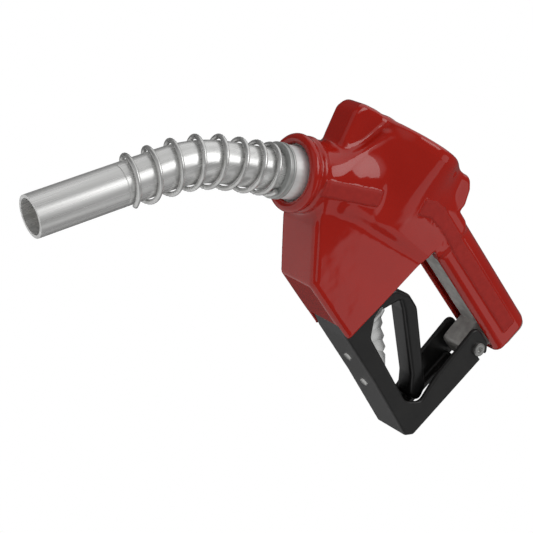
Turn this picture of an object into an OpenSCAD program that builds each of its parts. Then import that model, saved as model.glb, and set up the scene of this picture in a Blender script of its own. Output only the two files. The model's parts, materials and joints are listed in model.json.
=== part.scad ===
// Automatic shut-off fuel nozzle, in millimetres.
// Origin: centre of the hose inlet mouth. +X points out of the inlet, +Z up,
// and the nozzle is symmetric about Y = 0 apart from its hold-open hardware.

/* [Handle and inlet] */
// Half height of the handle casting
handle_hz = 14.4; // [13.8:0.1:15]
// Half width of the handle casting
handle_hy = 14; // [13.6:0.1:14.4]
// Bore radius of the inlet thread
inlet_r = 12; // [11.5:0.1:12.4]
// Depth of the inlet thread
inlet_depth = 19; // [15:1:22]
// Radius of the fuel way in the handle
handle_bore_r = 10.6; // [9:0.1:10.8]

/* [Spout] */
// Outer radius of the spout tube
spout_r = 11.9; // [11.5:0.1:12]
// Wall of the spout tube
spout_wall = 2.1; // [1.5:0.1:2.5]
// Fall of the spout's base axis below the handle axis, degrees
base_angle = 38; // [36:1:40]
// Bend of the spout, degrees
bend_angle = 25; // [20:1:28]
// Radius of the bend
bend_r = 90; // [80:5:100]
// Length from the neck to the corner of the two straight lines
base_run = 65; // [60:1:70]
// Length from that corner to the tip
tip_run = 100; // [90:1:110]

/* [Lever and valve] */
// Full travel of the lever, degrees
lever_travel = 15; // [12:1:15]
// Half width of the lever
lever_hy = 7; // [6:0.2:7]
// Radius of the valve stem
stem_r = 3; // [2.5:0.1:3.2]
// Play between the lever pad and the valve stem
stem_play = 0.15; // [0.1:0.05:0.3]

/* [Guard] */
// Outside half width of the lever guard
guard_hy = 14; // [13.8:0.1:14.4]
// Sheet of the lever guard
guard_t = 3; // [2.6:0.1:3]
// Underside of the guard's rear corner below the handle axis
guard_z = -98; // [-99:0.5:-97]

/* [Cover] */
// Thickness of the scuff cover
cover_t = 2.4; // [2:0.1:2.6]
// Gap between the cover and the casting
cover_gap = 0.15; // [0.1:0.05:0.3]

/* [Hidden] */
$fn = 64;
eps = 0.01;

// Neck mouth, cap top and the directions that follow from them
neck = [-207, 0, -58];
cap_top = [-162.5, 0, 20];
cap_tilt = 20;
cap_r = 29.6;
pivot_run = 104;
pivot = cap_top + pivot_run * [sin(cap_tilt), 0, -cos(cap_tilt)];
stem_x = -111;
pad_r = 17;
stem_end = pivot[2] + pad_r + stem_play;
run_fit = 0.05;

module on_cap() { translate(cap_top) rotate([0, -cap_tilt, 0]) children(); }
module on_neck() { translate(neck) rotate([0, -90 - base_angle, 0]) children(); }

// A tube or rod along local Z between two heights
module rod(r, z0, z1) { translate([0, 0, z0]) cylinder(r = r, h = z1 - z0); }
module tube(ro, ri, z0, z1) {
    difference() {
        rod(ro, z0, z1);
        rod(ri, z0 - 1, z1 + 1);
    }
}
// A rod along Y between two Y values
module cross_rod(x, z, r, y0, y1) {
    translate([x, y1, z]) rotate([90, 0, 0]) cylinder(r = r, h = y1 - y0);
}
// An XZ outline drawn from -hy to hy
module slab(hy) { translate([0, hy, 0]) rotate([90, 0, 0]) linear_extrude(2 * hy) children(); }
module slab_at(y0, y1) {
    translate([0, y1, 0]) rotate([90, 0, 0]) linear_extrude(y1 - y0) children();
}

// An outline with a rounded corner at each [x, z, radius]
function unit(v) = v / norm(v);
function corner(a, b, c) =
    let (p = [a[0], a[1]], q = [b[0], b[1]], s = [c[0], c[1]], u = unit(p - q), v = unit(s - q),
        half = acos(max(-1, min(1, u * v))) / 2, t = b[2] / tan(half),
        m = q + unit(u + v) * b[2] / sin(half), e = q + u * t - m, f = q + v * t - m,
        a0 = atan2(e[1], e[0]), d0 = atan2(f[1], f[0]) - a0,
        d = d0 > 180 ? d0 - 360 : d0 < -180 ? d0 + 360 : d0, n = ceil(abs(d) / 12))
    b[2] == 0 ? [q] : [for (i = [0:n]) m + b[2] * [cos(a0 + d * i / n), sin(a0 + d * i / n)]];
function rounded(pts) =
    let (n = len(pts))
    [for (i = [0:n - 1], p = corner(pts[(i + n - 1) % n], pts[i], pts[(i + 1) % n])) p];
function box_outline(hx, hy, r) = rounded([[-hx, -hy, r], [hx, -hy, r], [hx, hy, r], [-hx, hy, r]]);

// Round wire of radius w swept along a list of points, with its sections square to the path
function along(p, i) = unit(p[min(i + 1, len(p) - 1)] - p[max(i - 1, 0)]);
function ring(c, d, w, k) =
    let (ref = abs(d[2]) < 0.9 ? [0, 0, 1] : [1, 0, 0], u = unit(cross(d, ref)), v = cross(d, u))
    [for (j = [0:k - 1]) c + w * (u * cos(360 * j / k) + v * sin(360 * j / k))];
module wire(p, w, k = 8) {
    n = len(p);
    polyhedron(
        [for (i = [0:n - 1], q = ring(p[i], along(p, i), w, k)) q],
        concat([[for (j = [k - 1:-1:0]) j]], [[for (j = [0:k - 1]) (n - 1) * k + j]],
            [for (i = [0:n - 2], j = [0:k - 1])
                [i * k + j, i * k + (j + 1) % k, (i + 1) * k + (j + 1) % k, (i + 1) * k + j]]));
}
// A compression spring along local Z, with closer turns at each end; top_r makes it conical
module coil(r, w, z0, z1, turns, steps = 14, top_r = 0) {
    n = turns * steps;
    span = z1 - z0 - 2 * w;
    wire([for (i = [0:n])
        let (t = i / n, s = (1 - cos(180 * t)) / 2, a = 360 * turns * t,
            q = top_r == 0 ? r : r + (top_r - r) * t)
        [q * cos(a), q * sin(a), z0 + w + span * (0.25 * s + 0.75 * t)]], w, 6);
}

// Points on the spout's centre line, in the neck frame, at run s from the neck
bend_thin = 0.02;
bend_t = bend_r * tan(bend_angle / 2);
bend_z = base_run - bend_t;
bend_len = bend_r * bend_angle * PI / 180;
tip_len = tip_run - bend_t;
function turn_at(s) = max(0, min(bend_angle, (s - bend_z) * 180 / PI / bend_r));
function path(s) =
    let (a = turn_at(s), e = max(0, s - bend_z - bend_len))
    s <= bend_z ? [0, 0, s]
        : [bend_r * (cos(a) - 1) - e * sin(a), 0, bend_z + bend_r * sin(a) + e * cos(a)];
function side(s) = [cos(turn_at(s)), 0, sin(turn_at(s))];

// ---- Casting and cover ----

// Side outline of the valve housing between neck, handle and guard
housing = [[-178, -69, 3], [-150.6, -90.2, 3], [-124, -91, 4], [-104.4, -91, 1], [-104.4, -26, 6],
    [-98, -13, 4], [-98, 9, 3], [-110.5, 9, 1], [-111, 15, 3], [-119, 23, 4],
    [-150, 12, 8], [-186, -2, 6], [-192, -26, 5], [-194, -46, 5]];
// Side outline of the boss in front of the cap
front_boss = [[-209, -6, 3], [-208, -1, 3], [-199, 3, 2], [-184, 8, 2], [-182, -24, 3], [-200, -24, 4]];

// The casting's outer form, grown by g for the cover that fits over it
module form(g) {
    difference() {
        union() {
            translate([-130, 0, 0]) rotate([90, 0, 90]) linear_extrude(130 - 1.2)
                offset(g) polygon(box_outline(handle_hy, handle_hz, 9));
            slab(15 + g) offset(g) polygon(rounded(housing));
            slab(7.5 + g) offset(g) polygon(rounded(front_boss));
            on_neck() rod(18.4 + g, -50, -2);
            on_cap() rod(cap_r + g, -17 - g, g - 2.6);
            on_cap() translate([0, 0, -42 - g]) cylinder(r1 = 15, r2 = cap_r + g, h = 25);
        }
        on_neck() rod(40, -2 + g / 2, 20);
    }
}
// The same form without the growth, built only from exact shapes
module casting_form() {
    translate([-130, 0, 0]) rotate([90, 0, 90]) linear_extrude(130)
        polygon(box_outline(handle_hy, handle_hz, 9));
    slab(15) polygon(rounded(housing));
    slab(7.5) polygon(rounded(front_boss));
    on_neck() rod(18.4, -50, -2);
    on_cap() rod(cap_r, -17, -8);
    on_cap() translate([0, 0, -42]) cylinder(r1 = 15, r2 = cap_r, h = 25);
    lug();
}
// The lug under the handle that carries the rear of the guard
lug_x = -16.5;
lug_z = -26.3;
module lug() {
    slab(8) polygon(rounded([[-27, -10, 0], [-25.5, -33.4, 3], [-9.5, -33.4, 4], [-5.5, -10, 0]]));
}

cap_screw_r = 25.6;
module cap_circle(n) { for (i = [0:n - 1]) rotate([0, 0, 30 + 360 * i / n]) translate([cap_screw_r, 0, 0]) children(); }

module body_casting() {
    color("darkgray") difference() {
        casting_form();
        // Fuel way: inlet thread, handle, chamber above the main seat, and the way to the spout
        translate([-inlet_depth, 0, 0]) rotate([0, 90, 0]) rod(inlet_r, 0, inlet_depth + 1);
        translate([-108, 0, 0]) rotate([0, 90, 0]) rod(handle_bore_r, 0, 108 - inlet_depth + eps);
        translate([stem_x, 0, 0]) rod(11.5, -26, 20);
        translate([-168, -12, -25]) cube([60, 24, 10]);
        on_neck() rod(8, -58, -39);
        on_neck() rod(12, -40, -23);
        on_neck() rod(15.6, -24, 1);
        // Gland for the stem
        translate([stem_x, 0, 0]) rod(6, -40, -25);
        // Diaphragm chamber, guide bore and the air way between chamber and check valve
        on_cap() rod(31, -8, 10);
        on_cap() rod(20, -14, -7);
        on_cap() rod(9, -100, -13);
        translate([-172, 7, -26]) rotate([0, -12, 0]) rod(1.2, 0, 32);
        on_cap() cap_circle(6) rod(1.9, -15, -7);
        // Slot for the lever, open behind and below, with a cheek on each side
        translate([-141, -7.8, -120]) cube([60, 15.6, 85]);
        translate([-110, -9, -120]) cube([30, 18, 72]);
        for (s = [-1, 1]) translate([-121.5, s * 13.4 - 2.6, -120]) cube([40, 5.2, 62.5]);
        // Room for the front of the guard's floor
        translate([-117, -12, -120]) cube([30, 24, 32.2]);
        // Holes for the guard's screws and pin
        for (s = [-1, 1]) cross_rod(-113, -66.5, 1.6, min(s * 7, s * 11), max(s * 7, s * 11));
        cross_rod(lug_x, lug_z, 2.55, -9, 9);
        on_neck() translate([0, 19, -12]) rotate([90, 0, 0]) rod(2.2, -1, 6);
    }
}

module scuff_cover() {
    color("firebrick") {
        difference() {
            form(cover_t + cover_gap);
            form(cover_gap);
            on_neck() rod(18.4 + cover_gap, -49, 20);
            // Slot along the underside of the handle, open to the rear
            translate([-104, -9.6, -40]) cube([97, 19.2, 32]);
            lug_window = 11;
            translate([-31, -lug_window, -40]) cube([28, 2 * lug_window, 28]);
            // Open rear and bottom, where the lever and the guard come out
            translate([-104, -30, -120]) cube([80, 60, 102.6]);
            translate([-106, -15.3, -93]) cube([10, 30.6, 75.6]);
            translate([-116.3, -14.4, -100]) cube([40, 28.8, 39.5]);
        }
        // Rolled collar at the neck
        on_neck() translate([0, 0, -2.2]) rotate_extrude() translate([19.6, 0])
            difference() {
                circle(3.2, $fn = 32);
                translate([-3.3, -4]) square([2.25, 8]);
            }
    }
}

module inlet_strainer() {
    color("goldenrod") translate([-inlet_depth - 1, 0, 0]) rotate([0, 90, 0]) {
        tube(handle_bore_r - 0.05, 8.4, -0.5, 0.6);
        difference() {
            translate([0, 0, -23.6]) cylinder(r1 = 5.2, r2 = 9, h = 23.2);
            translate([0, 0, -23]) cylinder(r1 = 4.6, r2 = 8.4, h = 24);
            for (z = [-20.6:3.4:-2], a = [0:60:120]) translate([0, 0, z]) rotate([90, 0, a])
                rod(1.1, -12, 12);
        }
    }
}

// ---- Diaphragm cap and automatic shut-off ----

module vacuum_cap() {
    color("dimgray") on_cap() difference() {
        union() {
            rod(29.4, -7, -4.8);
            rod(21, -4.9, -2.7);
        }
        rod(18, -8, -4.6);
        cap_circle(6) rod(2.2, -8, 0);
    }
}
module cap_screws() {
    color("silver") on_cap() cap_circle(6) {
        rod(1.85, -14, -4.7);
        difference() {
            rod(3.3, -4.8, -2.9);
            for (a = [0, 90]) rotate([0, 0, a]) translate([-2, -0.4, -3.7]) cube([4, 0.8, 2]);
        }
    }
}
module diaphragm() {
    color("black") on_cap() difference() {
        union() {
            tube(29.4, 13.5, -8, -7);
            rod(14, -7.9, -7.1);
        }
        rod(1.55, -9, -6);
        cap_circle(6) rod(2.1, -9, -6);
    }
}
module diaphragm_plate() { color("silver") on_cap() tube(13, 1.5 + run_fit, -9.4, -7.9); }
module diaphragm_washer() { color("silver") on_cap() tube(11, 1.5 + run_fit, -7.1, -6.1); }
module diaphragm_spring() { color("gray") on_cap() coil(10, 0.35, -6.1, -4.6, 2, 24, 5); }
module latch_pin() {
    color("silver") on_cap() {
        rod(3.5, -52, -9.4);
        rod(1.5, -9.5, -5.8);
        translate([0, 0, -54]) cylinder(r1 = 2.2, r2 = 3.5, h = 2 + eps);
    }
}
module latch_balls() {
    color("lightgray") on_cap() for (a = [0:120:240]) rotate([0, 0, a])
        translate([5.55, 0, -44]) sphere(1.95, $fn = 32);
}
module plunger_guide() {
    color("burlywood") on_cap() difference() {
        rod(9, -88, -14);
        rod(7.2, -84, -13);
        rod(5.55, -90, -83);
        rod(8.1, -53, -40);
    }
}
module plunger() {
    color("silver") on_cap() difference() {
        union() {
            rod(7.15, -54, -36);
            rod(5.5, -pivot_run - 4, -53);
        }
        rod(3.6, -58, -35);
        for (a = [0:120:240]) rotate([0, 0, a]) translate([0, 0, -44]) rotate([0, 90, 0]) rod(2, 2, 9);
        translate([-8, -3.4, -pivot_run - 8]) cube([16, 6.8, 20]);
        translate([0, 8, -pivot_run]) rotate([90, 0, 0]) rod(2.5, 0, 16);
    }
}
module plunger_spring() { color("gray") on_cap() coil(6.35, 0.5, -84, -54, 8); }
module lever_pin() {
    color("silver") cross_rod(pivot[0], pivot[2], 2.45, -6.6, 6.6);
}

// ---- Lever ----

lever_outline = [[-132.5, -76, 4], [-130, -70.5, 3], [-119, -65, 3], [-104, -64.4, 3], [-95, -47, 4],
    [-84, -41.2, 9], [-72, -41.6, 9], [-21, -67, 6], [-16.5, -77, 4], [-26, -79.5, 4],
    [-37, -70.4, 8], [-79, -50.6, 5], [-86.2, -48.6, 1.5], [-91.5, -63, 6], [-99, -75, 8],
    [-122, -82.2, 4], [-131.5, -82.2, 4]];
module lever() {
    color([0.13, 0.13, 0.13]) difference() {
        union() {
            intersection() {
                slab(lever_hy) polygon(rounded(lever_outline));
                union() {
                    // Full width behind the eye, narrow where it enters the plunger's fork
                    translate([-118.5, -lever_hy, -100]) cube([110, 2 * lever_hy, 80]);
                    translate([-140, -3.3, -100]) cube([40, 6.6, 80]);
                }
            }
            // Round pad under the valve stem
            intersection() {
                cross_rod(stem_x, pivot[2], pad_r, -lever_hy, lever_hy);
                translate([-118.5, -lever_hy, -68]) cube([13.5, 2 * lever_hy, 20]);
            }
        }
        cross_rod(pivot[0], pivot[2], 2.5, -8, 8);
        cross_rod(clip_x, clip_z, 1.55, -8, 8);
    }
}
clip_x = -97;
clip_z = -66;
module clip_pin() { color("silver") cross_rod(clip_x, clip_z, 1.5, -8.4, 7); }
module hold_open_clip() {
    color("silver") difference() {
        slab_at(-8.3, -7.3) polygon(rounded([[-101, -69, 2.5], [-101, -62.5, 2.5], [-94, -62.5, 2],
            [-86, -75, 1], [-88, -77, 1]]));
        cross_rod(clip_x, clip_z, 1.55, -9, -6);
    }
}

// ---- Main valve ----

module main_stem() {
    color("silver") translate([stem_x, 0, 0]) {
        rod(stem_r, stem_end + stem_r, -8.4);
        rod(2, -8.5, -4);
        translate([0, 0, stem_end + stem_r]) sphere(stem_r);
    }
}
module poppet_disc() { color("black") translate([stem_x, 0, 0]) tube(9.8, 3.05, -10.4, -8.4); }
module poppet_holder() {
    color("goldenrod") translate([stem_x, 0, 0]) difference() {
        union() {
            rod(10, -8.4, -6.4);
            rod(4.5, -6.5, -3.6);
        }
        rod(2, -9, -3);
    }
}
module main_spring() { color("gray") translate([stem_x, 0, 0]) coil(7.5, 0.8, -6.4, 9, 5); }
module valve_cap() {
    color("goldenrod") translate([stem_x, 0, 0]) difference() {
        rod(11.5, 9, 11.9);
        rod(9.5, 8, 9 + 0.6);
        hex_rod(3.5, 11, 15);
        tube(13, 10.3, 9.9, 11.5);
    }
}
module valve_cap_o_ring() {
    color("black") translate([stem_x, 0, 10.7]) rotate_extrude() translate([10.9, 0]) circle(0.58, $fn = 20);
}
module valve_seat() {
    color("goldenrod") translate([stem_x, 0, 0]) difference() {
        rod(11.5, -14, -11);
        rod(8, -15, -10);
        translate([0, 0, -12]) cylinder(r1 = 8, r2 = 9, h = 1 + eps);
    }
}
module packing_nut() {
    color("goldenrod") translate([stem_x, 0, 0]) difference() {
        union() {
            rod(6, -36, -29);
            hex_rod(6.7, -38, -35);
        }
        rod(stem_r + run_fit, -42, -20);
    }
}
module hex_rod(r, z0, z1) { translate([0, 0, z0]) cylinder(r = r, h = z1 - z0, $fn = 6); }
module stem_packing() { color("white") translate([stem_x, 0, 0]) tube(6, stem_r + run_fit, -29, -26); }

// ---- Spout end ----

module check_poppet() {
    color("goldenrod") on_neck() {
        rod(10.5, -39.9, -37.5);
        rod(2.4, -38, -22.5);
    }
}
module check_spring() { color("gray") on_neck() coil(6, 0.5, -37.5, -27, 5); }
module check_guide() {
    color("goldenrod") on_neck() difference() {
        rod(12, -27, -24);
        rod(2.4 + run_fit, -28, -23);
        for (a = [0:60:300]) rotate([0, 0, a]) translate([7.4, 0, 0]) rod(2.6, -28, -23);
    }
}
module spout_adapter() {
    color("silver") on_neck() difference() {
        rod(15.4, -23.9, 8);
        rod(11, -25, 9);
        rod(spout_r + 0.05, -12, 9);
        tube(17, 13.8, -20.4, -17.8);
        tube(17, 14.6, -14.6, -9.4);
    }
}
module adapter_o_ring() {
    color("black") on_neck() translate([0, 0, -19.1]) rotate_extrude() translate([14.7, 0])
        circle(0.85, $fn = 24);
}
module spout_set_screw() {
    color("silver") on_neck() translate([0, 0, -12]) rotate([-90, 0, 0]) difference() {
        rod(2.15, 14.7, 18.2);
        hex_rod(1.2, 16.8, 19);
    }
}
module spring_ring() {
    color("gray") on_neck() difference() {
        tube(16.2, spout_r + 0.05, 8, 12.4);
        tube(17, 15.6, 9.6, 10.6);
    }
}
// A round pipe along the spout's centre line: the drawn bend is a hair slimmer than its straights
module spout_pipe(ro, ri, z0, y = 0, cut = 0) {
    translate([0, y, 0]) {
        tube(ro, ri, z0, bend_z);
        translate([-bend_r, 0, bend_z]) {
            rotate([90, 0, 0]) rotate_extrude(angle = bend_angle) translate([bend_r, 0])
                difference() {
                    circle(ro - bend_thin);
                    circle(ri + bend_thin);
                }
            rotate([0, -bend_angle, 0]) translate([bend_r, 0, 0]) tube(ro, ri, 0, tip_len - cut);
        }
    }
}
// The spout's straight end, with local Z from the bend to the tip
module on_tip() {
    on_neck() translate([-bend_r, 0, bend_z]) rotate([0, -bend_angle, 0]) translate([bend_r, 0, 0])
        children();
}
groove_z = 27.6;
mouth_len = 13;
module spout_tube() {
    bore_r = spout_r - spout_wall;
    color("gainsboro") {
        on_neck() spout_pipe(spout_r, bore_r, -12, cut = tip_len - groove_z);
        // Groove that stops the spring, then the plain end with its mouth bored out a little
        on_tip() {
            tube(spout_r - 0.3, bore_r, groove_z, groove_z + 0.8);
            tube(spout_r, bore_r, groove_z + 0.8, tip_len - mouth_len);
            tube(spout_r, bore_r + 0.2, tip_len - mouth_len, tip_len);
        }
    }
}
spring_w = 1.45;
spring_r = 14;
spring_turns = 8;
spring_pitch = 13.4;
// Run along the spout after t turns: the coil closes up at its root
function spring_run(t) = 13.9 + spring_pitch * (t - 0.85 * (1 - exp(-t)));
module spout_spring() {
    n = 20 * spring_turns;
    color("silver") on_neck() wire([for (i = [0:n])
        let (t = i / 20, s = spring_run(t), a = 360 * (t - 0.62))
        path(s) + spring_r * (side(s) * cos(a) - [0, 1, 0] * sin(a))], spring_w);
}
module vacuum_tube() {
    color("gainsboro") on_neck() spout_pipe(2, 1.3, -22, 7, 14);
}
module vacuum_ball_cage() {
    color("burlywood") on_tip() translate([0, 0, tip_len - 26]) difference() {
        union() {
            translate([0, -3.5, 0]) rod(4.6, 0, 12);
            translate([-8.8, -4.2, 4]) cube([17.6, 1.4, 3]);
        }
        translate([0, -3.5, 0]) rod(3.4, 1.2, 10.8);
        translate([0, -3.5, 0]) rod(1.3, -1, 14);
    }
}
module attitude_ball() {
    color("silver") on_tip() translate([0, -3.5, tip_len - 26 + 7.6]) sphere(3, $fn = 32);
}

// ---- Guard and hold-open hardware ----

guard_x = -8.3;
// The guard's floor falls from its front, inside the cover, to its rear corner
floor_front = [-104, -93.4];
floor_rear = [guard_x - 6, guard_z];
floor_tilt = atan2(floor_front[1] - floor_rear[1], floor_rear[0] - floor_front[0]);
module on_floor() {
    translate([floor_front[0], 0, floor_front[1]]) rotate([0, floor_tilt, 0]) translate([0, 0, guard_t])
        children();
}
guard_outline = [[-116, -91.4, 0], [floor_front[0], floor_front[1], 6], [guard_x - 5, guard_z, 3],
    [guard_x, guard_z + 5, 3],
    [guard_x, -22, 4], [-14, -17.6, 6], [-30, -18.2, 5], [-27, -60, 20], [-22.5, -78, 5],
    [-32, -86, 8], [-89, -80.5, 5], [-98, -71, 5], [-100.5, -62, 3], [-118, -60, 3], [-118, -88, 1],
    [-116, -88, 0]];
module lever_guard() {
    color([0.12, 0.12, 0.12]) difference() {
        slab(guard_hy) polygon(rounded(guard_outline));
        // Inside of the channel, leaving the floor and the rear web
        slab(guard_hy - guard_t) polygon([[-130, -88.4], [-116, -88.4],
            floor_front + [0.1, guard_t], [guard_x - 6, guard_z + guard_t],
            [guard_x - guard_t, guard_z + 7], [guard_x - guard_t, -10], [-130, -10]]);
        // Above the web only the two arms remain
        translate([guard_x - 10, guard_t - guard_hy, -35]) cube([20, 2 * (guard_hy - guard_t), 30]);
        // Window in the web
        slab_x_window();
        // Open slots for the pin
        cross_rod(lug_x, lug_z, 2.7, -20, 20);
        translate([lug_x, -20, lug_z - 2.7]) cube([20, 40, 5.4]);
        on_floor() for (x = rivet_run) translate([x, 0, 0]) rod(2, -6, 3);
        for (s = [-1, 1]) cross_rod(-113, -66.5, 1.9, min(s * 10, s * 15), max(s * 10, s * 15));
    }
}
module slab_x_window() {
    translate([guard_x - 5, 0, -67]) rotate([90, 0, 90]) linear_extrude(8)
        polygon(box_outline(6, 18, 5.5));
}
module guard_ear_screws() {
    color("silver") for (s = [-1, 1]) {
        cross_rod(-113, -66.5, 1.55, min(s * 8, s * 14), max(s * 8, s * 14));
        cross_rod(-113, -66.5, 3, min(s * 14, s * 14.9), max(s * 14, s * 14.9));
    }
}
module guard_pin() {
    color("silver") difference() {
        union() {
            cross_rod(lug_x, lug_z, 2.5, -14, 14);
            cross_rod(lug_x, lug_z, 4.3, -16, -14);
            cross_rod(lug_x, lug_z, 4.3, 14, 16);
        }
        cross_rod(lug_x, lug_z, 1.6, -17, -14.9);
    }
}
// Places of the rivets along the floor, from the floor's front
rivet_run = [23, 47];
rack_y = -10.7;
rack_t = 1.8;
rack_outline = [[10, 0, 0], [54, 0, 0], [44, 8, 3], [34, 14.2, 1], [31, 14, 0.4], [29.5, 17, 0.5],
    [24, 17.6, 0.4], [22.5, 20, 0.5], [16, 20.8, 0.4], [14.5, 23.4, 0.5], [10.5, 24.4, 0.4],
    [8.5, 29, 1], [5.2, 28.5, 1], [5.5, 1, 0]];
module hold_open_rack() {
    color("gainsboro") on_floor() difference() {
        union() {
            slab_at(rack_y, rack_y + rack_t) polygon(rounded(rack_outline));
            translate([14, rack_y, 0]) cube([42, 15, rack_t]);
        }
        for (x = rivet_run) translate([x, 0, 0]) rod(2, -1, 4);
    }
}
module rack_rivets() {
    color("silver") on_floor() for (x = rivet_run) translate([x, 0, 0]) {
        rod(1.95, -guard_t, rack_t);
        translate([0, 0, -guard_t - 1]) cylinder(r1 = 2.6, r2 = 3.2, h = 1);
        translate([0, 0, rack_t]) cylinder(r1 = 3.2, r2 = 2.4, h = 1);
    }
}

body_casting();
scuff_cover();
inlet_strainer();
vacuum_cap();
cap_screws();
diaphragm();
diaphragm_plate();
diaphragm_washer();
diaphragm_spring();
latch_pin();
latch_balls();
plunger_guide();
plunger();
plunger_spring();
lever_pin();
lever();
hold_open_clip();
clip_pin();
main_stem();
poppet_holder();
poppet_disc();
main_spring();
valve_cap();
valve_cap_o_ring();
valve_seat();
packing_nut();
stem_packing();
check_poppet();
check_spring();
check_guide();
spout_adapter();
adapter_o_ring();
spout_set_screw();
spring_ring();
spout_tube();
spout_spring();
vacuum_tube();
vacuum_ball_cage();
attitude_ball();
lever_guard();
guard_ear_screws();
guard_pin();
hold_open_rack();
rack_rivets();
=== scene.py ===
"""Looks of the fuel nozzle. The cover, lever, guard and coil are modelled here, the rest are its CAD nodes.

Lengths are in millimetres until a mesh is made. The frame is the part's own: +X out of the hose
inlet, +Z up, and the picture is taken from the -Y side.
"""
import json
import math

import bpy
import numpy as np
from mathutils import Matrix, Vector


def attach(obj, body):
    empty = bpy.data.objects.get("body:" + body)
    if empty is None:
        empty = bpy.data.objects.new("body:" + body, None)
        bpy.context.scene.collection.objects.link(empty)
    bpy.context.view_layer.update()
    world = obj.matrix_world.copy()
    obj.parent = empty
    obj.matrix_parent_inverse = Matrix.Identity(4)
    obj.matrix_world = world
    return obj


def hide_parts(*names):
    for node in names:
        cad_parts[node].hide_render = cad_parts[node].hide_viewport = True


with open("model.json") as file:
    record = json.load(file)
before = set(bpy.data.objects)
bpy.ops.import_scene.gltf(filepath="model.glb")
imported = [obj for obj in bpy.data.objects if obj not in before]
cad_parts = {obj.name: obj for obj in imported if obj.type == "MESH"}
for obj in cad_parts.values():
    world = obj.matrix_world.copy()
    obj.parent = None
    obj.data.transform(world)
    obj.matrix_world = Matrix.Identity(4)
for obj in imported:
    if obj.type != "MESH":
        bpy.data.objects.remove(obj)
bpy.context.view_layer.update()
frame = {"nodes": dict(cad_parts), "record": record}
MM = 0.001

# ---- Driving dimensions, as in the part's source ----
NECK = (-207.0, -58.0)
BASE_ANGLE = math.radians(38)
CAP_TOP = (-162.5, 20.0)
CAP_TILT = math.radians(20)
CAP_R = 32.2
SKIN = 2.55           # cover and its gap, over the casting
COVER_T = 2.35
HANDLE_HY, HANDLE_TOP, HANDLE_BOTTOM, HANDLE_END = 16.7, 14.95, -16.85, -1.2
BOSS_HY = 10.0
COVER_CUT_TOP = -17.4  # behind the housing the cover ends at this height, under the handle
STEM_X, LEVER_PIVOT = -111.0, (-126.93, -77.73)
CLIP_PIN = (-97.0, -66.0)
BEND_R, BEND_ANGLE = 90.0, math.radians(25)
BEND_START = 65.0 - BEND_R * math.tan(BEND_ANGLE / 2)
BEND_LENGTH = BEND_R * BEND_ANGLE
SPOUT_TURN = BASE_ANGLE + BEND_ANGLE      # the straight end's slope below -X
SPRING_R, SPRING_WIRE, SPRING_TURNS, SPRING_PITCH = 14.0, 1.45, 8, 13.4

HOUSING = [(-178, -69, 3), (-150.6, -90.2, 3), (-124, -91, 4), (-104.4, -91.4, 1),
           (-104.4, -26, 6), (-98, -13, 4), (-98, 9, 3), (-110.5, 9, 1), (-110.8, 16, 2),
           (-115.8, 23.5, 3), (-121, 27, 4), (-150, 12, 8), (-186, -2, 6), (-192, -26, 5),
           (-194, -46, 5)]
FRONT_BOSS = [(-208.5, -8, 4), (-207.5, -2.5, 4), (-199, 1.6, 5), (-184, 7, 2), (-182, -24, 3),
              (-201, -24, 4)]
LEVER = [(-132.5, -76, 4), (-130, -70.5, 3), (-119, -65, 3), (-104, -64.4, 3), (-95, -47, 4),
         (-84, -41.2, 9), (-72, -41.6, 9), (-21, -67, 6), (-16.5, -77, 4), (-26, -79.5, 4),
         (-37, -70.4, 8), (-79, -50.6, 5), (-86.2, -48.6, 1.5), (-91.5, -63, 6), (-99, -75, 8),
         (-122, -82.2, 4), (-131.5, -82.2, 4)]
GUARD_X, GUARD_Z, GUARD_HY, GUARD_T = -8.0, -99.6, 14.0, 3.2
GUARD = [(-116, -91.6, 0), (-104, -93.6, 6), (-62, -95.5, 60), (GUARD_X - 5, GUARD_Z, 3),
         (GUARD_X, GUARD_Z + 5, 3),
         (GUARD_X, -22, 4), (-14, -17.6, 6), (-30, -18.2, 5), (-27, -60, 20), (-22.5, -78, 5),
         (-32, -86, 8), (-89, -80.5, 5), (-98, -71, 5), (-100.5, -62, 3), (-118, -60, 3),
         (-118, -88, 1), (-116, -88, 0)]
GUARD_INSIDE = [(-130, -88.4), (-116, -88.4), (-103.9, -90.4), (-62, -92.4),
                (GUARD_X - 6, GUARD_Z + GUARD_T),
                (GUARD_X - GUARD_T, GUARD_Z + 7), (GUARD_X - GUARD_T, -10), (-130, -10)]
LUG_PIN = (-16.5, -26.3)
# The two plain raised strips on each side of the cover
STRIP_RISE = 0.9
STRIP_FRONT = [(-201, -51, 0.5), (-196, -59, 0.5), (-162, -34, 0.5), (-167, -26, 0.5)]
STRIP_REAR = [(-141, -7, 0.5), (-133, -1.2, 5), (-122, 2.6, 8), (-12, 3.2, 0.5), (-12, -6, 0.5),
              (-113, -6.6, 10), (-126, -9, 8), (-136, -15.5, 0.5)]


# ---- Outlines and distance fields, in millimetres ----

def rounded(points, grow=0.0):
    """The outline with an arc at each (x, z, radius), convex corners grown by the same amount."""
    made, n = [], len(points)
    for i in range(n):
        a, b, c = (np.array(points[j % n][:2], float) for j in (i - 1, i, i + 1))
        u, v = (a - b) / np.linalg.norm(a - b), (c - b) / np.linalg.norm(c - b)
        r = points[i][2] if len(points[i]) > 2 else 0
        if r == 0:
            made.append(b)
            continue
        half = math.acos(np.clip(u @ v, -1, 1)) / 2
        mid = b + (u + v) / np.linalg.norm(u + v) * r / math.sin(half)
        e, f = b + u * r / math.tan(half) - mid, b + v * r / math.tan(half) - mid
        a0 = math.atan2(e[1], e[0])
        turn = (math.atan2(f[1], f[0]) - a0 + math.pi) % (2 * math.pi) - math.pi
        for k in range(7):
            t = a0 + turn * k / 6
            made.append(mid + r * np.array((math.cos(t), math.sin(t))))
    return made


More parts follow.
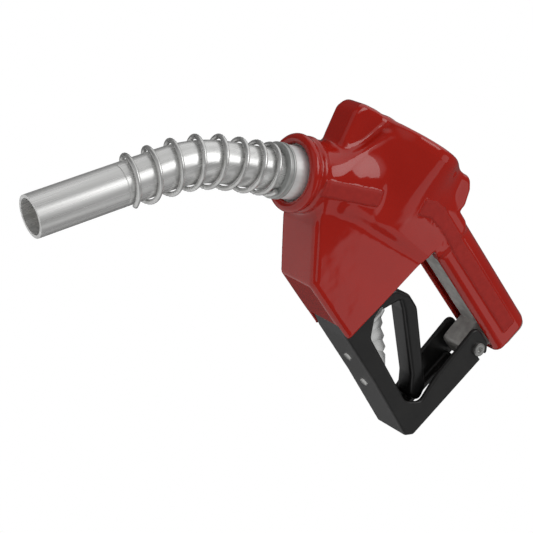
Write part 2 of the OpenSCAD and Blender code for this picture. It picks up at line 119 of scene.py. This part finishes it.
def outline_distance(x, z, outline):
    """Signed distance in the XZ plane from a closed outline, negative inside."""
    nearest = np.full(np.broadcast(x, z).shape, 1e9)
    inside = np.zeros(nearest.shape, bool)
    for a, b in zip(outline, outline[1:] + outline[:1]):
        ex, ez = b[0] - a[0], b[1] - a[1]
        wx, wz = x - a[0], z - a[1]
        t = np.clip((wx * ex + wz * ez) / max(ex * ex + ez * ez, 1e-9), 0, 1)
        nearest = np.minimum(nearest, (wx - ex * t) ** 2 + (wz - ez * t) ** 2)
        if a[1] != b[1]:
            crosses = ((a[1] > z) != (b[1] > z)) & (x < ex * (z - a[1]) / ez + a[0])
            inside ^= crosses
    d = np.sqrt(nearest)
    return np.where(inside, -d, d)


def both(a, b, r):
    """Where both distances are inside, with the edge between them rounded by r."""
    u, v = a + r, b + r
    return np.minimum(np.maximum(u, v), 0) + np.hypot(np.maximum(u, 0), np.maximum(v, 0)) - r


def joined(a, b, k):
    """Union with a fillet of about k."""
    h = np.clip(0.5 + 0.5 * (b - a) / k, 0, 1)
    return b + (a - b) * h - k * h * (1 - h)


def block(x, y, z, x0, x1, half_y, z0, z1):
    return np.maximum.reduce(np.broadcast_arrays(
        np.abs(x - (x0 + x1) / 2) - (x1 - x0) / 2, np.abs(y) - half_y,
        np.abs(z - (z0 + z1) / 2) - (z1 - z0) / 2))


def grid(lo, hi, pitch):
    axes = [np.arange(a, b + pitch, pitch) for a, b in zip(lo, hi)]
    return axes[0][:, None, None], axes[1][None, :, None], axes[2][None, None, :]


def surface(field, x, y, z):
    """Vertices and quads of the zero level of a distance field, one vertex per crossed cell."""
    inside = field < 0
    nx, ny, nz = (n - 1 for n in field.shape)
    total = np.zeros((nx, ny, nz, 3), np.float32)
    count = np.zeros((nx, ny, nz), np.float32)
    axes = [x.ravel(), y.ravel(), z.ravel()]
    step = [a[1] - a[0] for a in axes]
    for axis in range(3):
        others = [a for a in range(3) if a != axis]
        for i in (0, 1):
            for j in (0, 1):
                at = [slice(None)] * 3
                at[others[0]] = slice(i, field.shape[others[0]] - 1 + i)
                at[others[1]] = slice(j, field.shape[others[1]] - 1 + j)
                low, high = list(at), list(at)
                low[axis], high[axis] = slice(0, -1), slice(1, None)
                a, b = field[tuple(low)], field[tuple(high)]
                hit = inside[tuple(low)] != inside[tuple(high)]
                share = np.where(hit, a / np.where(hit, a - b, 1), 0)
                count += hit
                total[..., axis] += share * hit
                total[..., others[0]] += i * hit
                total[..., others[1]] += j * hit
    used = count > 0
    number = np.full(used.shape, -1, np.int64)
    number[used] = np.arange(used.sum())
    cell = np.argwhere(used)
    places = total[used] / count[used][:, None] + cell
    verts = np.stack([axes[k][0] + places[:, k] * step[k] for k in range(3)], 1)
    quads = []
    for axis in range(3):
        o0, o1 = [(1, 2), (2, 0), (0, 1)][axis]
        low, high = [slice(None)] * 3, [slice(None)] * 3
        low[axis], high[axis] = slice(0, -1), slice(1, None)
        for s in (low, high):
            s[o0], s[o1] = slice(1, -1), slice(1, -1)
        a, b = inside[tuple(low)], inside[tuple(high)]
        where = np.argwhere(a != b)
        if not len(where):
            continue
        where[:, o0] += 1
        where[:, o1] += 1
        corner = []
        for i, j in ((1, 1), (0, 1), (0, 0), (1, 0)):
            w = where.copy()
            w[:, o0] -= i
            w[:, o1] -= j
            corner.append(number[w[:, 0], w[:, 1], w[:, 2]])
        faces = np.stack(corner, 1)
        out = a[a != b]
        faces[~out] = faces[~out][:, ::-1]
        quads.append(faces)
    return verts, np.concatenate(quads)


def relaxed(verts, quads, rounds):
    """A light smoothing that takes the grid's marks off without shrinking."""
    edges = np.concatenate([quads[:, [0, 1]], quads[:, [1, 2]], quads[:, [2, 3]], quads[:, [3, 0]]])
    degree = np.bincount(edges.ravel(), minlength=len(verts))[:, None]
    for k in range(rounds * 2):
        mean = np.zeros_like(verts)
        for c in range(3):
            mean[:, c] = (np.bincount(edges[:, 0], verts[edges[:, 1], c], len(verts))
                          + np.bincount(edges[:, 1], verts[edges[:, 0], c], len(verts)))
        verts = verts + (0.5 if k % 2 == 0 else -0.52) * (mean / degree - verts)
    return verts


# ---- Meshes ----

def mesh_object(name, verts, faces):
    mesh = bpy.data.meshes.new(name)
    mesh.from_pydata((np.asarray(verts) * MM).tolist(), [], np.asarray(faces).tolist())
    mesh.update()
    mesh.polygons.foreach_set("use_smooth", [True] * len(mesh.polygons))
    made = bpy.data.objects.new(name, mesh)
    bpy.context.scene.collection.objects.link(made)
    return made


def field_object(name, field, axes, rounds=2):
    verts, quads = surface(field, *axes)
    return mesh_object(name, relaxed(verts, quads, rounds), quads)


# ---- Scuff cover ----

def along_neck(x, z):
    """Run along the spout's base axis from the neck's mouth, and the offset across it."""
    c, s = math.cos(BASE_ANGLE), math.sin(BASE_ANGLE)
    return -(x - NECK[0]) * c - (z - NECK[1]) * s, -(x - NECK[0]) * s + (z - NECK[1]) * c


def along_cap(x, z):
    """Height above the cap's top along the diaphragm's axis, and the offset across it."""
    c, s = math.cos(CAP_TILT), math.sin(CAP_TILT)
    return -(x - CAP_TOP[0]) * s + (z - CAP_TOP[1]) * c, (x - CAP_TOP[0]) * c + (z - CAP_TOP[1]) * s


def handle_field(x, y, z):
    top = both(np.abs(y) - HANDLE_HY, z - HANDLE_TOP, 11.5)
    bottom = both(np.abs(y) - HANDLE_HY, HANDLE_BOTTOM - z, 6)
    section = np.where(z > -1, top, bottom)
    return both(section, np.maximum(x - HANDLE_END, -130 - x), 3.5)


def housing_field(x, y, z):
    """The flat-sided housing: its sides draw in a little towards the nose and the rear edge."""
    side = outline_distance(x[:, :, 0:1], z[0:1], rounded(HOUSING)) - SKIN
    nose = np.clip((-158 - x) / 40, 0, 1)
    low = np.clip((-40 - z) / 60, 0, 1)
    half = 17.7 - 0.8 * nose * nose * (3 - 2 * nose) - 0.7 * low * low
    return both(side, np.abs(y) - half, 3.4)


def boss_field(x, y, z):
    """The boss in front of the cap."""
    side = outline_distance(x[:, :, 0:1], z[0:1], rounded(FRONT_BOSS)) - SKIN
    return both(side, np.abs(y) - BOSS_HY, 3.5)


def neck_field(x, y, z):
    run, off = along_neck(x, z)
    return both(np.hypot(off, y) - 20.9, np.maximum(run + 0.8, -50 - run), 1.2)


def dome_field(x, y, z):
    """The round cap, drawn in below its rim to a flat-sided foot that lies in the housing."""
    height, off = along_cap(x, z)
    disc = np.hypot(off, y) - CAP_R
    foot = both(np.abs(off - 4) - 42, np.abs(y) - 17.6, 3.5)
    low = np.clip((-9 - height) / 55, 0, 1)
    morph = disc * (1 - low) + foot * low
    return both(morph, np.maximum(height + 2.3, -60 - height), 3.2)


def collar_field(x, y, z):
    """The rolled lip round the spout's sleeve, and the smaller roll behind it."""
    run, off = along_neck(x, z)
    radius = np.hypot(off, y)
    lip = np.hypot(radius - 19.6, run + 2.2) - 3.2
    second = np.hypot(radius - 20.2, run + 9.0) - 1.9
    return np.minimum(lip, second)


def groove_field(x, y, z, start, end, depth_y, r):
    """Distance from a straight groove on both sides of the cover, between two (x, z) places."""
    ax, az, bx, bz = *start, *end
    t = np.clip(((x - ax) * (bx - ax) + (z - az) * (bz - az)) / ((bx - ax) ** 2 + (bz - az) ** 2), 0, 1)
    gap = np.hypot(x - ax - t * (bx - ax), z - az - t * (bz - az))
    return np.hypot(gap, np.abs(y) - depth_y) - r


def strip_field(x, y, z, outline):
    """Distance from a strip's outline, on both sides of the cover."""
    side = outline_distance(x[:, :, 0:1], z[0:1], rounded(outline))
    return np.maximum(side, 12 - np.abs(y))


def cover_form(x, y, z):
    """The cover's outer form before its strips and openings."""
    form = joined(handle_field(x, y, z), housing_field(x, y, z), 5)
    form = joined(form, dome_field(x, y, z), 10)
    form = joined(form, boss_field(x, y, z), 4)
    form = joined(form, neck_field(x, y, z), 7)
    return joined(form, collar_field(x, y, z), 2)


def make_cover():
    pitch = 0.8
    x, y, z = axes = grid((-226, -35, -97), (2, 35, 34), pitch)
    form = cover_form(x, y, z)
    inner = -(form + COVER_T)
    run, off = along_neck(x, z)
    radius = np.hypot(off, y)
    # Creases where the vinyl draws in beside the nose
    for start, end, wide in (((-191, -65.5), (-158, -92), 1.3), ((-186, -63), (-153, -89.5), 1.0)):
        form = -joined(-form, groove_field(x, y, z, start, end, 17.0, wide), 1.2)
    strips = np.minimum(strip_field(x, y, z, STRIP_FRONT), strip_field(x, y, z, STRIP_REAR))
    form = np.minimum(form, both(form - STRIP_RISE, strips, 0.2))
    shell = np.maximum(form, inner)
    # Ways out for the spout, the lever and guard, and the lug, and the slot under the handle
    shell = np.maximum(shell, -np.maximum(radius - 18.6, np.maximum(-49 - run, run + 3.5)))
    shell = np.maximum(shell, -np.maximum(radius - 16.6, -6 - run))
    shell = np.maximum(shell, -block(x, y, z, -104, 40, 60, -140, COVER_CUT_TOP))
    shell = np.maximum(shell, -block(x, y, z, -106, -96, 15.2, -93, COVER_CUT_TOP))
    shell = np.maximum(shell, -block(x, y, z, -116.3, -76, 14.4, -110, -60.5))
    shell = np.maximum(shell, -block(x, y, z, -104, -6, 12.4, -40, -10))
    shell = np.maximum(shell, -block(x, y, z, -31, -3, 11, -40, -12))
    cover = field_object("cover", shell, axes, 2)
    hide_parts("scuff_cover")
    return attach(cover, "body")


# ---- Lever and guard ----

def make_lever():
    x, y, z = axes = grid((-136, -9, -86), (-13, 9, -38), 0.6)
    side = outline_distance(x[:, :, 0:1], z[0:1], rounded(LEVER))
    eye = np.clip((-117.5 - x) / 1.5, 0, 1)
    arm = both(side, np.abs(y) - (7 - 3.7 * eye), 2.2)
    pad = np.hypot(x - STEM_X, z - LEVER_PIVOT[1]) - 17
    pad = both(np.maximum(pad, np.maximum(-118.5 - x, x + 105)), np.abs(y) - 7, 0.8)
    lever = np.minimum(arm, np.maximum(pad, -68 - z))
    lever = np.maximum(lever, 2.7 - np.hypot(x - LEVER_PIVOT[0], z - LEVER_PIVOT[1]))
    lever = np.maximum(lever, 1.6 - np.hypot(x - CLIP_PIN[0], z - CLIP_PIN[1]))
    made = field_object("squeeze_lever", lever, axes, 2)
    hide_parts("lever")
    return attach(made, "lever")


def make_guard():
    x, y, z = axes = grid((-120, -16, -100), (-6, 16, -15), 0.55)
    side = outline_distance(x[:, :, 0:1], z[0:1], rounded(GUARD))
    inside = outline_distance(x[:, :, 0:1], z[0:1], [np.array(p, float) for p in GUARD_INSIDE])
    guard = both(side, np.abs(y) - GUARD_HY, 1.3)
    hollow = both(inside, np.abs(y) - (GUARD_HY - GUARD_T), 2.0)
    guard = -joined(-guard, hollow, 1.2)
    above = block(x, y, z, GUARD_X - 10, GUARD_X + 10, GUARD_HY - GUARD_T, -35, -5)
    guard = np.maximum(guard, -above)
    window = both(np.abs(y) - 6, np.abs(z + 67) - 18, 5.5)
    guard = np.maximum(guard, -np.maximum(window, -(x - GUARD_X + 5)))
    slot = np.minimum(np.hypot(x - LUG_PIN[0], z - LUG_PIN[1]) - 2.7,
                      np.maximum(np.abs(z - LUG_PIN[1]) - 2.7, LUG_PIN[0] - x))
    guard = np.maximum(guard, -(slot + 0 * y))
    made = field_object("guard", guard, axes, 2)
    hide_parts("lever_guard")
    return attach(made, "body")


# ---- Spout spring ----

def spout_point(run):
    """A place on the spout's centre line and the direction across it in the XZ plane."""
    turn = max(0.0, min(BEND_ANGLE, (run - BEND_START) / BEND_R))
    extra = max(0.0, run - BEND_START - BEND_LENGTH)
    if run <= BEND_START:
        across, ahead = 0.0, run
    else:
        across = BEND_R * (math.cos(turn) - 1) - extra * math.sin(turn)
        ahead = BEND_START + BEND_R * math.sin(turn) + extra * math.cos(turn)
    return neck_place(across, ahead), neck_direction(math.cos(turn), math.sin(turn))


def neck_direction(across, ahead):
    c, s = math.cos(BASE_ANGLE), math.sin(BASE_ANGLE)
    return np.array((-across * s - ahead * c, 0.0, across * c - ahead * s))


def neck_place(across, ahead):
    return np.array((NECK[0], 0.0, NECK[1])) + neck_direction(across, ahead)


def swept(name, points, radius, sides):
    """A round wire along a list of points, with flat ends."""
    p = np.array(points)
    ahead = np.gradient(p, axis=0)
    ahead /= np.linalg.norm(ahead, axis=1)[:, None]
    across = np.cross(ahead, (0.0, 1.0, 0.0))
    across /= np.linalg.norm(across, axis=1)[:, None]
    up = np.cross(ahead, across)
    a = np.arange(sides) * 2 * math.pi / sides
    ring = across[:, None, :] * np.cos(a)[None, :, None] + up[:, None, :] * np.sin(a)[None, :, None]
    verts = (p[:, None, :] + radius * ring).reshape(-1, 3)
    n = len(p)
    faces = [[i * sides + j, i * sides + (j + 1) % sides, (i + 1) * sides + (j + 1) % sides,
              (i + 1) * sides + j] for i in range(n - 1) for j in range(sides)]
    faces += [list(range(sides))[::-1], [(n - 1) * sides + j for j in range(sides)]]
    made = bpy.data.objects.new(name, bpy.data.meshes.new(name))
    made.data.from_pydata((verts * MM).tolist(), [], faces)
    made.data.update()
    made.data.polygons.foreach_set("use_smooth", [True] * (len(faces) - 2) + [False] * 2)
    bpy.context.scene.collection.objects.link(made)
    return made


def make_spring():
    points = []
    steps = 40
    for i in range(steps * SPRING_TURNS + 1):
        t = i / steps
        run = 13.9 + SPRING_PITCH * (t - 0.85 * (1 - math.exp(-t)))
        a = 2 * math.pi * (t - 0.62)
        centre, across = spout_point(run)
        points.append(centre + SPRING_R * (across * math.cos(a) - np.array((0, 1, 0)) * math.sin(a)))
    spring = swept("guard_spring", points, SPRING_WIRE, 14)
    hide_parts("spout_spring")
    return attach(spring, "body")


# ---- Materials ----

def material(name, base, rough, metallic=0.0, **more):
    """A material whose colour and roughness both vary with noise, so no surface is flat.

    base is two colours and rough two values, mixed by a noise. More names: scale of that noise,
    stretch of the pattern along turned axes, ior, and bump with bump_scale and bump_depth."""
    mat = bpy.data.materials.new(name)
    mat.use_nodes = True
    nodes, links = mat.node_tree.nodes, mat.node_tree.links
    bsdf = nodes["Principled BSDF"]
    place = nodes.new("ShaderNodeTexCoord")
    mapping = nodes.new("ShaderNodeMapping")
    mapping.vector_type = "TEXTURE"
    mapping.inputs["Scale"].default_value = more.get("stretch", (1, 1, 1))
    mapping.inputs["Rotation"].default_value = more.get("turned", (0, 0, 0))
    links.new(place.outputs["Object"], mapping.inputs["Vector"])
    noise = nodes.new("ShaderNodeTexNoise")
    noise.inputs["Scale"].default_value = more.get("scale", 60)
    noise.inputs["Detail"].default_value = 4
    links.new(mapping.outputs["Vector"], noise.inputs["Vector"])
    ramp = nodes.new("ShaderNodeValToRGB")
    ramp.color_ramp.elements[0].position, ramp.color_ramp.elements[1].position = 0.35, 0.65
    ramp.color_ramp.elements[0].color = (*base[0], 1)
    ramp.color_ramp.elements[1].color = (*base[1], 1)
    links.new(noise.outputs["Fac"], ramp.inputs["Fac"])
    links.new(ramp.outputs["Color"], bsdf.inputs["Base Color"])
    spread = nodes.new("ShaderNodeMapRange")
    spread.inputs["To Min"].default_value, spread.inputs["To Max"].default_value = rough
    links.new(noise.outputs["Fac"], spread.inputs["Value"])
    links.new(spread.outputs["Result"], bsdf.inputs["Roughness"])
    bsdf.inputs["Metallic"].default_value = metallic
    if "ior" in more:
        bsdf.inputs["IOR"].default_value = more["ior"]
    if "bump" in more:
        fine = nodes.new("ShaderNodeTexNoise")
        fine.inputs["Scale"].default_value = more.get("bump_scale", 900)
        fine.inputs["Detail"].default_value = 3
        links.new(mapping.outputs["Vector"], fine.inputs["Vector"])
        bump = nodes.new("ShaderNodeBump")
        bump.inputs["Strength"].default_value = more["bump"]
        bump.inputs["Distance"].default_value = more.get("bump_depth", 0.0002)
        links.new(fine.outputs["Fac"], bump.inputs["Height"])
        links.new(bump.outputs["Normal"], bsdf.inputs["Normal"])
    return mat


def vinyl():
    """Glossy dipped vinyl with slow dents."""
    return material("red_vinyl", ((0.290, 0.0095, 0.0050), (0.320, 0.0115, 0.0062)), (0.04, 0.07),
                    scale=25, ior=1.5, bump=0.35, bump_scale=26, bump_depth=0.0012)


def strip_vinyl():
    """The matter finish of the raised strips."""
    return material("strip_vinyl", ((0.275, 0.0095, 0.0055), (0.305, 0.0115, 0.0068)), (0.5, 0.6),
                    scale=300, ior=1.35, bump=0.5, bump_scale=2200, bump_depth=0.00012)


def spout_metal():
    """Drawn tube, polished lengthwise, so its streaks run along the straight end."""
    return material("spout_aluminium", ((0.60, 0.60, 0.59), (0.80, 0.80, 0.79)), (0.20, 0.34), 0.62,
                    scale=40, turned=(0, -SPOUT_TURN, 0), stretch=(8, 0.17, 0.17),
                    bump=0.3, bump_scale=60, bump_depth=0.0002)


def materials():
    return {
        "red_vinyl": vinyl(),
        "spout_aluminium": spout_metal(),
        "cast_aluminium": material("cast_aluminium", ((0.30, 0.29, 0.28), (0.42, 0.41, 0.39)),
                                   (0.42, 0.6), 0.45, scale=220, bump=0.5, bump_scale=700),
        "turned_aluminium": material("turned_aluminium", ((0.60, 0.60, 0.60), (0.72, 0.72, 0.71)),
                                     (0.46, 0.56), 0.45, scale=90, bump=0.15, bump_scale=500),
        "grey_ring": material("grey_ring", ((0.36, 0.37, 0.36), (0.46, 0.47, 0.46)), (0.38, 0.5), 0.5,
                              scale=120, bump=0.2),
        "coil_wire": material("coil_wire", ((0.56, 0.56, 0.55), (0.70, 0.70, 0.69)), (0.2, 0.32), 0.7,
                              scale=150, bump=0.1),
        "black_nylon": material("black_nylon", ((0.0050, 0.0050, 0.0052), (0.0085, 0.0082, 0.0082)),
                                (0.30, 0.40), scale=80, bump=0.12, bump_scale=1500),
        "black_guard": material("black_guard", ((0.0075, 0.0073, 0.0072), (0.012, 0.0115, 0.011)),
                                (0.36, 0.46), scale=80, bump=0.15, bump_scale=1300),
        "plated_sheet": material("plated_sheet", ((0.70, 0.71, 0.70), (0.82, 0.82, 0.81)),
                                 (0.18, 0.30), 1.0, scale=60),
        "zinc_steel": material("zinc_steel", ((0.48, 0.48, 0.47), (0.60, 0.60, 0.58)), (0.28, 0.4), 1.0,
                               scale=150, bump=0.2),
        "hard_steel": material("hard_steel", ((0.42, 0.42, 0.42), (0.55, 0.55, 0.54)),
                               (0.22, 0.34), 1.0, scale=150),
        "spring_steel": material("spring_steel", ((0.36, 0.36, 0.36), (0.46, 0.46, 0.45)), (0.3, 0.4),
                                 1.0, scale=200),
        "brass": material("brass", ((0.60, 0.42, 0.16), (0.72, 0.54, 0.24)),
                          (0.25, 0.4), 1.0, scale=90),
        "acetal": material("acetal", ((0.66, 0.62, 0.53), (0.76, 0.72, 0.63)), (0.35, 0.5), scale=90),
        "white_ptfe": material("white_ptfe", ((0.76, 0.76, 0.75), (0.84, 0.84, 0.83)), (0.4, 0.55),
                               scale=90),
        "black_rubber": material("black_rubber", ((0.012, 0.012, 0.012), (0.02, 0.02, 0.02)),
                                 (0.55, 0.7), scale=120),
        "cap_plastic": material("cap_plastic", ((0.03, 0.03, 0.03), (0.045, 0.045, 0.045)), (0.4, 0.55),
                                scale=90),
    }


def dress(finishes):
    """Gives every CAD node and modelled piece its slot's material."""
    slot_of = {s["node"]: s["material_slot"] for s in frame["record"]["subparts"]}
    for name, node in frame["nodes"].items():
        for i in range(max(1, len(node.material_slots))):
            if not node.material_slots:
                node.data.materials.append(None)
            node.material_slots[i].material = finishes[slot_of[name]]
    for piece, slot in pieces.items():
        piece.data.materials.append(finishes[slot])


def put_strips(cover, finish):
    """The raised strips take a matter finish: the faces at their height inside their outlines."""
    cover.data.materials.append(finish)
    centres = np.zeros(len(cover.data.polygons) * 3)
    cover.data.polygons.foreach_get("center", centres)
    centres = centres.reshape(-1, 3) / MM
    index = np.zeros(len(centres), np.int32)
    for outline in (STRIP_FRONT, STRIP_REAR):
        d = outline_distance(centres[:, 0], centres[:, 2], rounded(outline))
        index[(d < 0.3) & (np.abs(centres[:, 1]) > 15)] = 1
    cover.data.polygons.foreach_set("material_index", index)


def soften(name, width, segments=2):
    """A small worn edge on a CAD node, its width in millimetres."""
    node = frame["nodes"][name]
    weld = node.modifiers.new("weld", "WELD")
    weld.merge_threshold = 0.00001
    bevel = node.modifiers.new("edge", "BEVEL")
    bevel.width, bevel.segments, bevel.limit_method = width * MM, segments, "ANGLE"
    bevel.angle_limit = math.radians(40)
    bevel.harden_normals = True
    node.data.polygons.foreach_set("use_smooth", [True] * len(node.data.polygons))


# ---- Camera, light and floor ----

def make_camera():
    """Below and in front of the nozzle on its -Y side, rolled so that the handle falls to the right."""
    back = -Vector((0.5858, 0.7782, 0.2262)).normalized()
    right = Vector((0.4827, -0.5592, 0.6740))
    up = back.cross(right).normalized()
    right = up.cross(back)
    data = bpy.data.cameras.new("camera")
    data.lens, data.sensor_width = 101.3, 36
    data.clip_start, data.clip_end = 0.05, 20
    camera = bpy.data.objects.new("camera", data)
    place = Vector((-675.8, -667.7, -296.4)) * MM
    camera.matrix_world = Matrix((
        (right.x, up.x, back.x, place.x), (right.y, up.y, back.y, place.y),
        (right.z, up.z, back.z, place.z), (0, 0, 0, 1)))
    bpy.context.scene.collection.objects.link(camera)
    bpy.context.scene.camera = camera


def panel(name, towards, distance, size, power, colour=(1, 1, 1)):
    """A soft box seen from the nozzle in one direction."""
    data = bpy.data.lights.new(name, "AREA")
    data.shape, data.size, data.size_y = "RECTANGLE", *size
    data.energy, data.color = power, colour
    light = bpy.data.objects.new(name, data)
    aim = Vector((-160, 0, -70)) * MM
    out = Vector(towards).normalized()
    light.location = aim + out * distance
    light.rotation_euler = out.to_track_quat("Z", "Y").to_euler()
    bpy.context.scene.collection.objects.link(light)


# What the nozzle reflects: a dark room with soft lights, each a direction seen from the nozzle,
# the angles between which it fades, and its level. FILL is the even light on matter surfaces.
FILL = 0.8
ROOM_DARK = 0.10
ROOM_LIGHTS = [
    ((0.80, -0.60, -0.04), 9, 11, 0.45),        # right of the camera: the pale sheet below the cap
    ((0.73, -0.64, 0.31), 10, 12, 0.6),         # above it: the sheet on the flat sides
    ((-0.16, -0.78, 0.61), 12, 28, 0.8),        # above the camera: the spout's bright middle
    ((-0.2, 0.1, 0.97), 30, 44, 0.7),           # overhead
    ((-0.9, -0.35, -0.1), 22, 40, 0.3),        # towards the spout's tip, on the nose and the lobes
]


def background(nodes, strength):
    made = nodes.new("ShaderNodeBackground")
    made.inputs["Color"].default_value = (1, 1, 1, 1)
    made.inputs["Strength"].default_value = strength
    return made


def make_world():
    """A white backdrop, an even fill for matter surfaces, and a dark room with soft lights in
    everything that the nozzle reflects."""
    world = bpy.data.worlds.new("world")
    bpy.context.scene.world = world
    world.use_nodes = True
    nodes, links = world.node_tree.nodes, world.node_tree.links
    nodes.clear()
    place = nodes.new("ShaderNodeTexCoord")

    def lobe(direction, inner, outer, weight):
        """Brightness that is `weight` within the inner angle of a direction, none past the outer."""
        dot = nodes.new("ShaderNodeVectorMath")
        dot.operation = "DOT_PRODUCT"
        dot.inputs[1].default_value = Vector(direction).normalized()
        links.new(place.outputs["Generated"], dot.inputs[0])
        reach = nodes.new("ShaderNodeMapRange")
        reach.interpolation_type = "SMOOTHSTEP"
        reach.inputs["From Min"].default_value = math.cos(math.radians(outer))
        reach.inputs["From Max"].default_value = math.cos(math.radians(inner))
        reach.inputs["To Max"].default_value = weight
        links.new(dot.outputs["Value"], reach.inputs["Value"])
        return reach.outputs["Result"]

    level = nodes.new("ShaderNodeValue").outputs[0]
    level.default_value = ROOM_DARK
    for direction, inner, outer, weight in ROOM_LIGHTS:
        add = nodes.new("ShaderNodeMath")
        add.operation = "ADD"
        links.new(level, add.inputs[0])
        links.new(lobe(direction, inner, outer, weight), add.inputs[1])
        level = add.outputs[0]
    room = background(nodes, 1)
    links.new(level, room.inputs["Strength"])
    path = nodes.new("ShaderNodeLightPath")
    filled = nodes.new("ShaderNodeMixShader")
    seen = nodes.new("ShaderNodeMixShader")
    out = nodes.new("ShaderNodeOutputWorld")
    links.new(path.outputs["Is Diffuse Ray"], filled.inputs["Fac"])
    links.new(room.outputs[0], filled.inputs[1])
    links.new(background(nodes, FILL).outputs[0], filled.inputs[2])
    links.new(path.outputs["Is Camera Ray"], seen.inputs["Fac"])
    links.new(filled.outputs[0], seen.inputs[1])
    links.new(background(nodes, 1).outputs[0], seen.inputs[2])
    links.new(seen.outputs[0], out.inputs["Surface"])


def make_floor():
    bpy.ops.mesh.primitive_plane_add(size=1.4, location=(-0.16, 0, -0.46))
    floor = bpy.context.object
    floor.name = "floor"
    floor.data.materials.append(material("floor_paper", ((0.80, 0.80, 0.80), (0.84, 0.84, 0.84)),
                                         (0.7, 0.8), scale=8))


# ---- Scene ----

pieces = {make_cover(): "red_vinyl", make_lever(): "black_nylon", make_guard(): "black_guard",
          make_spring(): "coil_wire"}
finishes = materials()
dress(finishes)
put_strips(bpy.data.objects["cover"], strip_vinyl())
for name, width in (("hold_open_rack", 0.2), ("spout_adapter", 0.3), ("spring_ring", 0.3),
                    ("guard_pin", 0.5), ("rack_rivets", 0.3), ("body_casting", 0.4)):
    soften(name, width)

bpy.context.scene.view_settings.view_transform = "Standard"
make_camera()
make_world()
make_floor()
panel("key", (-0.1, -0.7, 0.7), 1.1, (0.8, 0.6), 3)
